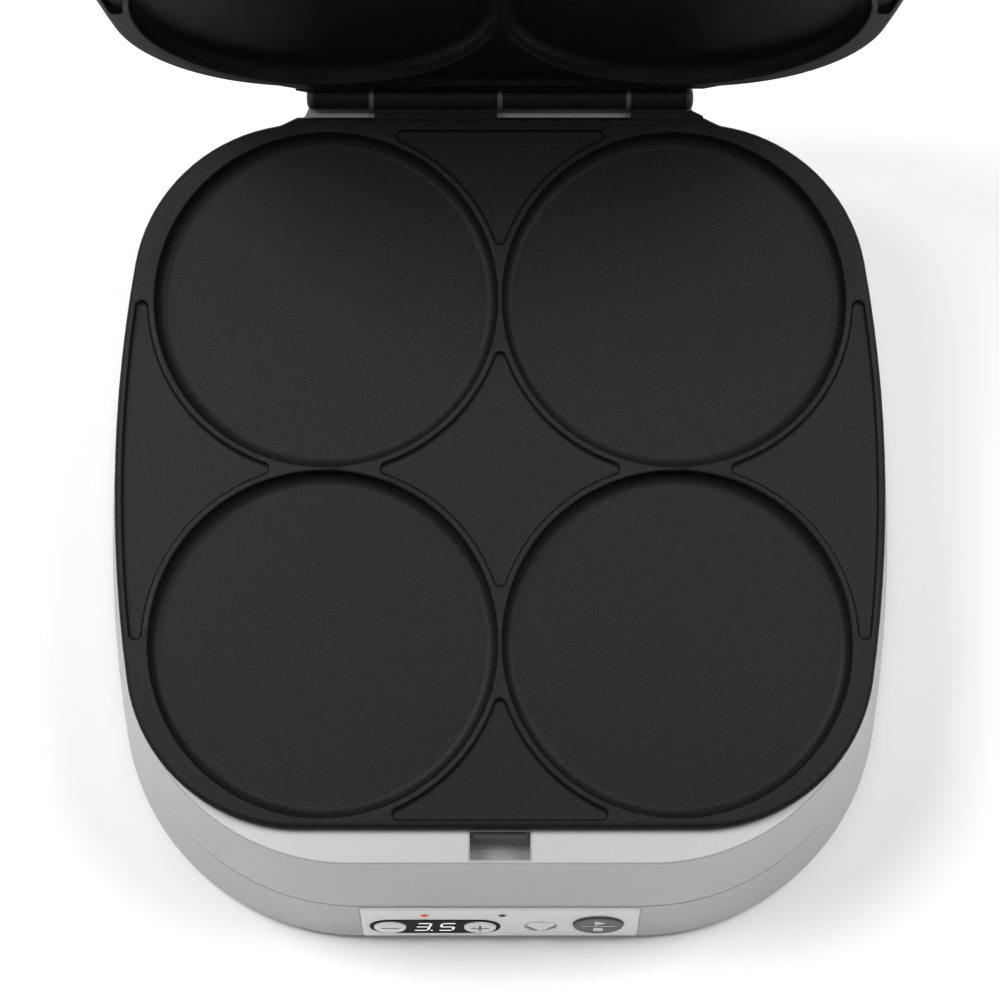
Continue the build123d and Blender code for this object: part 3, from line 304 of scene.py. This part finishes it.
slotFinish = {
    "silver_housing": "silver", "nonstick_casting": "coating", "black_plastic": "blackPlastic",
    "dark_grey_plastic": "greyPlastic", "recess_grey": "recess", "panel_silver": "panel",
    "window_black": "window", "button_silver": "silverButton", "button_white": "whiteButton",
    "button_dark": "greyButton", "red_lens": "redLens", "dark_lens": "darkLens", "steel": "steel",
    "galvanized_sheet": "zinc", "heater_sheath": "sheath", "circuit_board": "board",
    "component_body": "component", "transformer_core": "core", "white_ceramic": "ceramic", "rubber": "rubber",
}
nodeSlot = {part["node"]: part["material_slot"] for part in frame["record"]["subparts"]}


def paint(piece, finishName):
    piece.data.materials.clear()
    piece.data.materials.append(finishes[finishName])


for name, node in frame["nodes"].items():
    paint(node, slotFinish[nodeSlot[name]])


# Modelling helpers

def deselect():
    if bpy.context.object and bpy.context.object.mode != "OBJECT":
        bpy.ops.object.mode_set(mode="OBJECT")
    bpy.ops.object.select_all(action="DESELECT")


def editing(piece):
    deselect()
    piece.select_set(True)
    bpy.context.view_layer.objects.active = piece
    bpy.ops.object.mode_set(mode="EDIT")


def pick(piece, test, kind="FACE"):
    # Selects what passes a test on its middle, in edit mode
    bpy.ops.mesh.select_mode(type=kind)
    bpy.ops.mesh.select_all(action="DESELECT")
    form = bmesh.from_edit_mesh(piece.data)
    items = {"FACE": form.faces, "EDGE": form.edges, "VERT": form.verts}[kind]
    for item in items:
        if kind == "FACE":
            item.select = test(item.calc_center_median(), item.normal)
        elif kind == "EDGE":
            item.select = test((item.verts[0].co + item.verts[1].co) / 2, item.verts[0].co - item.verts[1].co)
        else:
            item.select = test(item.co, item.normal)
    form.select_flush_mode()
    bmesh.update_edit_mesh(piece.data)


def finishPiece(piece, body, finishName, place=None, angle=35):
    # Puts the piece's place into its mesh, smooths it and lets it ride
    deselect()
    piece.select_set(True)
    bpy.context.view_layer.objects.active = piece
    bpy.ops.object.transform_apply(location=True, rotation=True, scale=True)
    if place is not None:
        piece.data.transform(place)
    bpy.ops.object.shade_smooth_by_angle(angle=math.radians(angle))
    paint(piece, finishName)
    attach(piece, body)
    return piece


mergeWithin = 0.002 * mm

def smoothed(name, angle=30):
    # A merged copy of a CAD node, so that its curved faces shade smoothly
    node = frame["nodes"][name]
    copy = bpy.data.objects.new(name + "_skin", node.data.copy())
    bpy.context.scene.collection.objects.link(copy)
    editing(copy)
    bpy.ops.mesh.select_all(action="SELECT")
    bpy.ops.mesh.remove_doubles(threshold=mergeWithin)
    bpy.ops.object.mode_set(mode="OBJECT")
    body = [b for b, members in frame["record"]["behaviour"]["bodies"].items() if name in members][0]
    finishPiece(copy, body, slotFinish[nodeSlot[name]], angle=angle)
    evener = copy.modifiers.new("even_normals", "WEIGHTED_NORMAL")
    evener.mode = "FACE_AREA_WITH_ANGLE"
    evener.keep_sharp = True
    bpy.ops.object.modifier_apply(modifier=evener.name)
    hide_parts(name)
    return copy


skins = {name: smoothed(name) for name in frame["nodes"] if name != "extra_button"}
print("skins made:", len(skins))


# Panel symbols and digits, modelled flat with Y up the panel, then laid on it

inward = Vector({joint["name"]: joint for joint in frame["joints"]}["start_press"]["axis"])
low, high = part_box("panel_plate")
panelMiddle = (low + high) / 2
panelNormal = -inward.normalized()
panelUp = panelNormal.cross(Vector((1, 0, 0)))
panelTurn = Matrix((Vector((1, 0, 0)), panelUp, panelNormal)).transposed().to_4x4()
panelPlace = Matrix.Translation(panelMiddle) @ panelTurn


def panelSpot(name):
    # A node's middle across the panel and its highest point above it
    points = [panelPlace.inverted() @ v.co for v in frame["nodes"][name].data.vertices]
    x = [p.x for p in points]
    y = [p.y for p in points]
    return Vector(((min(x) + max(x)) / 2, (min(y) + max(y)) / 2, max(p.z for p in points)))


easing = {"inset": 0.4, "raise": 0.2, "tip": 0.08}

def bar(name, length, width, rise, middle, lean=0.0, turn=0.0, pointed=0.0):
    # A flat bar with eased edges, and with drawn-out ends where it is pointed
    bpy.ops.mesh.primitive_cube_add(size=1)
    piece = bpy.context.object
    piece.name = name
    piece.scale = (length - 2 * pointed, width, rise)
    bpy.ops.object.transform_apply(location=False, rotation=False, scale=True)
    editing(piece)
    if pointed:
        for side in (-1, 1):
            pick(piece, lambda c, n: n.x * side > 0.9)
            bpy.ops.mesh.extrude_region_move(TRANSFORM_OT_translate={"value": (side * pointed, 0, 0)})
            bpy.ops.transform.resize(value=(1, easing["tip"], 1))
    pick(piece, lambda c, n: n.z > 0.9)
    bpy.ops.mesh.inset(thickness=rise * easing["inset"], depth=rise * easing["raise"])
    bpy.ops.object.mode_set(mode="OBJECT")
    slant = Matrix(((1, lean, 0, 0), (0, 1, 0, 0), (0, 0, 1, 0), (0, 0, 0, 1)))
    piece.data.transform(slant @ Matrix.Rotation(turn, 4, "Z"))
    piece.data.transform(Matrix.Translation(middle))
    return piece


def joined(pieces, name):
    deselect()
    for piece in pieces:
        piece.select_set(True)
    bpy.context.view_layer.objects.active = pieces[0]
    bpy.ops.object.join()
    pieces[0].name = name
    return pieces[0]


display = {"height": 8.2, "width": 5.0, "stroke": 0.78, "rise": 0.12, "lean": 0.2, "gap": 0.2,
           "places": (-4.5, 4.5), "point": 0.42, "pointStep": 1.5, "pointInset": 0.5, "pointRaise": 0.3,
           "lit": ({"top", "upperRight", "middle", "lowerRight", "bottom"},
                   {"top", "upperLeft", "middle", "lowerRight", "bottom"})}

def digits():
    # Two seven-segment figures and the point between them
    d = display
    window = panelSpot("display_window")
    half = d["height"] / 2 * mm
    side = d["width"] / 2 * mm
    wide = (d["width"] - 2 * d["gap"]) * mm
    tall = (d["height"] / 2 - 2 * d["gap"]) * mm
    bars = {"top": (0, half, wide, 0), "middle": (0, 0, wide, 0), "bottom": (0, -half, wide, 0),
            "upperLeft": (-side, half / 2, tall, 1), "upperRight": (side, half / 2, tall, 1),
            "lowerLeft": (-side, -half / 2, tall, 1), "lowerRight": (side, -half / 2, tall, 1)}
    made = []
    for x, lit in zip(d["places"], d["lit"]):
        for segment in sorted(lit):
            sx, sy, length, upright = bars[segment]
            spot = Vector((window.x + x * mm + sx + d["lean"] * sy, window.y + sy, window.z))
            made.append(bar("segment", length, d["stroke"] * mm, d["rise"] * mm, spot, d["lean"],
                            upright * math.pi / 2, d["stroke"] * mm / 2))
    bpy.ops.mesh.primitive_cylinder_add(vertices=24, radius=d["point"] * mm, depth=d["rise"] * mm)
    point = bpy.context.object
    editing(point)
    pick(point, lambda c, n: n.z > 0.9)
    bpy.ops.mesh.inset(thickness=d["rise"] * d["pointInset"] * mm, depth=d["rise"] * d["pointRaise"] * mm)
    bpy.ops.object.mode_set(mode="OBJECT")
    dotX = window.x + (d["places"][0] + d["width"] / 2 + d["pointStep"]) * mm - d["lean"] * half
    point.data.transform(Matrix.Translation((dotX, window.y - half, window.z)))
    made.append(point)
    piece = joined(made, "display_figures")
    return finishPiece(piece, "base", "digits", panelPlace)


symbol = {"length": 6.6, "width": 0.8, "rise": 0.12}

def buttonSymbols():
    size = (symbol["length"] * mm, symbol["width"] * mm, symbol["rise"] * mm)
    minus = bar("minus_symbol", *size, panelSpot("minus_button"))
    finishPiece(minus, "minus_button", "inkDark", panelPlace)
    spot = panelSpot("plus_button")
    plus = joined([bar("plus_symbol", *size, spot), bar("plus_upright", *size, spot, turn=math.pi / 2)],
                  "plus_symbol")
    finishPiece(plus, "plus_button", "inkDark", panelPlace)


startMark = {"line": 12.0, "lineWidth": 0.4, "rise": 0.1, "arrow": 2.7, "square": 3.5, "offset": 3.7}

def startSymbols():
    # A triangle above the line and a square below it
    s = startMark
    spot = panelSpot("start_button")
    line = bar("start_line", s["line"] * mm, s["lineWidth"] * mm, s["rise"] * mm, spot)
    bpy.ops.mesh.primitive_cylinder_add(vertices=3, radius=s["arrow"] * mm, depth=s["rise"] * mm)
    arrow = bpy.context.object
    editing(arrow)
    bpy.ops.mesh.select_all(action="SELECT")
    bpy.ops.transform.rotate(value=math.pi / 2, orient_axis="Z", center_override=(0, 0, 0))
    pick(arrow, lambda c, n: n.z > 0.9)
    bpy.ops.mesh.inset(thickness=s["rise"] * easing["inset"] * mm, depth=s["rise"] * easing["raise"] * mm)
    bpy.ops.object.mode_set(mode="OBJECT")
    arrow.data.transform(Matrix.Translation(spot + Vector((0, s["offset"] * mm, 0))))
    square = bar("stop_square", s["square"] * mm, s["square"] * mm, s["rise"] * mm,
                 spot - Vector((0, s["offset"] * mm, 0)))
    marks = joined([line, arrow, square], "start_symbols")
    finishPiece(marks, "start_button", "inkLight", panelPlace)


extra = {"radius": 5.7, "flange": 6.7, "rise": 3.3, "sunk": 0.8, "sides": 64, "facets": 3, "lean": 24,
         "edge": 0.25, "shoulder": 0.2, "flangeDepth": 0.8, "stem": 2.0, "stemGap": 1.0}

def extraButton():
    # Domed button whose crown is cut into three shallow facets
    spot = panelSpot("extra_button")
    cad = [panelPlace.inverted() @ v.co for v in frame["nodes"]["extra_button"].data.vertices]
    bottom = min(p.z for p in cad)
    deck = spot.z - (extra["rise"] - extra["sunk"]) * mm
    bpy.ops.mesh.primitive_cylinder_add(vertices=extra["sides"], radius=extra["radius"] * mm,
                                        depth=extra["rise"] * mm,
                                        location=(0, 0, deck + extra["rise"] * mm / 2))
    piece = bpy.context.object
    piece.name = "extra_button_dome"
    bpy.ops.object.transform_apply(location=True, rotation=False, scale=False)
    editing(piece)
    crown = deck + extra["rise"] * mm
    for n in range(extra["facets"]):
        around = math.radians(90 + 360 / extra["facets"] * n)
        lean = math.radians(extra["lean"])
        outward = math.sin(lean)
        normal = Vector((math.cos(around) * outward, math.sin(around) * outward, math.cos(lean)))
        bpy.ops.mesh.select_all(action="SELECT")
        bpy.ops.mesh.bisect(plane_co=(0, 0, crown), plane_no=normal, use_fill=True, clear_outer=True)
    pick(piece, lambda c, d: c.z > deck + extra["shoulder"] * mm and abs(d.z) < 0.9 * d.length, "EDGE")
    bpy.ops.mesh.bevel(offset=extra["edge"] * mm, segments=3, affect="EDGES")
    pick(piece, lambda c, n: n.z < -0.9)
    bpy.ops.mesh.extrude_region_move(TRANSFORM_OT_translate={"value": (0, 0, -extra["shoulder"] * mm)})
    widen = extra["flange"] / extra["radius"]
    bpy.ops.transform.resize(value=(widen, widen, 1))
    bpy.ops.mesh.extrude_region_move(TRANSFORM_OT_translate={"value": (0, 0, -extra["flangeDepth"] * mm)})
    bpy.ops.mesh.inset(thickness=(extra["flange"] - extra["stem"]) * mm)
    stemDrop = bottom - deck + extra["stemGap"] * mm
    bpy.ops.mesh.extrude_region_move(TRANSFORM_OT_translate={"value": (0, 0, stemDrop)})
    bpy.ops.object.mode_set(mode="OBJECT")
    piece.data.transform(Matrix.Translation((spot.x, spot.y, 0)))
    finishPiece(piece, "extra_button", "whiteButton", panelPlace, 20)
    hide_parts("extra_button")


lampCollar = {"radius": 1.75, "wire": 0.18, "around": 40, "sides": 10, "flatness": 0.7}

def lampRing(name, lampNode):
    spot = panelSpot(lampNode)
    collar = lampCollar
    bpy.ops.mesh.primitive_torus_add(major_radius=collar["radius"] * mm, minor_radius=collar["wire"] * mm,
                                     major_segments=collar["around"], minor_segments=collar["sides"])
    ring = bpy.context.object
    ring.name = name
    editing(ring)
    bpy.ops.mesh.select_all(action="SELECT")
    bpy.ops.transform.resize(value=(1, 1, collar["flatness"]))
    bpy.ops.object.mode_set(mode="OBJECT")
    ring.data.transform(Matrix.Translation((spot.x, spot.y, panelSpot("panel_plate").z)))
    finishPiece(ring, "base", "panel", panelPlace)


digits()
buttonSymbols()
startSymbols()
extraButton()
lampRing("power_lamp_ring", "power_lamp")
lampRing("ready_lamp_ring", "ready_lamp")
print("panel details made")


# Floor, lights and camera

floorShade = {"colour": (0.9, 0.9, 0.9), "dark": (0.88, 0.88, 0.88), "light": (0.92, 0.92, 0.92), "size": 6.0,
              "patches": 6, "lift": 0.03}

def floor():
    bpy.ops.mesh.primitive_plane_add(size=floorShade["size"])
    plane = bpy.context.object
    plane.name = "floor"
    finish = Finish("floor_paper", floorShade["colour"], 0.9)
    shade = finish.noise(floorShade["patches"], 2)
    finish.link("Base Color", finish.blend(shade, floorShade["dark"], floorShade["light"]))
    # The camera sees the paper a little brighter, up to white, and the shadow stays
    path = finish.add("ShaderNodeLightPath", {}, {})
    seen = Value(finish, path.outputs["Is Camera Ray"])
    finish.shader.inputs["Emission Color"].default_value = (1, 1, 1, 1)
    finish.link("Emission Strength", seen * floorShade["lift"])
    plane.data.materials.append(finish.material)


def background(strength=0.2):
    world = bpy.data.worlds.new("studio")
    bpy.context.scene.world = world
    world.use_nodes = True
    nodes = world.node_tree.nodes
    links = world.node_tree.links
    nodes.clear()
    path = nodes.new("ShaderNodeLightPath")
    ambient = nodes.new("ShaderNodeBackground")
    ambient.inputs["Color"].default_value = (1, 1, 1, 1)
    ambient.inputs["Strength"].default_value = strength
    seen = nodes.new("ShaderNodeBackground")
    seen.inputs["Color"].default_value = (1, 1, 1, 1)
    seen.inputs["Strength"].default_value = 1.0
    mix = nodes.new("ShaderNodeMixShader")
    out = nodes.new("ShaderNodeOutputWorld")
    links.new(path.outputs["Is Camera Ray"], mix.inputs[0])
    links.new(ambient.outputs[0], mix.inputs[1])
    links.new(seen.outputs[0], mix.inputs[2])
    links.new(mix.outputs[0], out.inputs[0])


lamps = {
    "left": {"place": (-0.82, 0.42, 1.5), "size": (0.7, 0.8), "power": 25},
    "right": {"place": (0.82, 0.38, 1.5), "size": (0.7, 0.8), "power": 19},
    "lowLeft": {"place": (-1.1, 0.1, 0.5), "size": (1.2, 0.25), "power": 1.2},
    "lowRight": {"place": (1.1, 0.1, 0.5), "size": (1.2, 0.25), "power": 0.9},
}

aim = Vector((0, 0, 0.08))

def lights():
    for name, lamp in lamps.items():
        data = bpy.data.lights.new(name, "AREA")
        data.shape = "RECTANGLE"
        data.size, data.size_y = lamp["size"]
        data.energy = lamp["power"]
        light = bpy.data.objects.new(name, data)
        light.location = lamp["place"]
        light.rotation_euler = (aim - light.location).to_track_quat("-Z", "Y").to_euler()
        bpy.context.scene.collection.objects.link(light)


shot = {"inFront": 322.2, "abovePlate": 914.65, "tilt": 8.78, "lens": 97.1, "sensor": 36, "shift": 0.1}

def camera():
    data = bpy.data.cameras.new("camera")
    data.sensor_width = shot["sensor"]
    data.lens = shot["lens"]
    data.shift_y = shot["shift"]
    eye = bpy.data.objects.new("camera", data)
    eye.location = (0, hingePoint.y - shot["inFront"] * mm, plateTop + shot["abovePlate"] * mm)
    eye.rotation_euler = (math.radians(shot["tilt"]), 0, 0)
    bpy.context.scene.collection.objects.link(eye)
    bpy.context.scene.camera = eye


floor()
background()
lights()
camera()
bpy.context.scene.view_settings.view_transform = "Standard"
print("stage set")
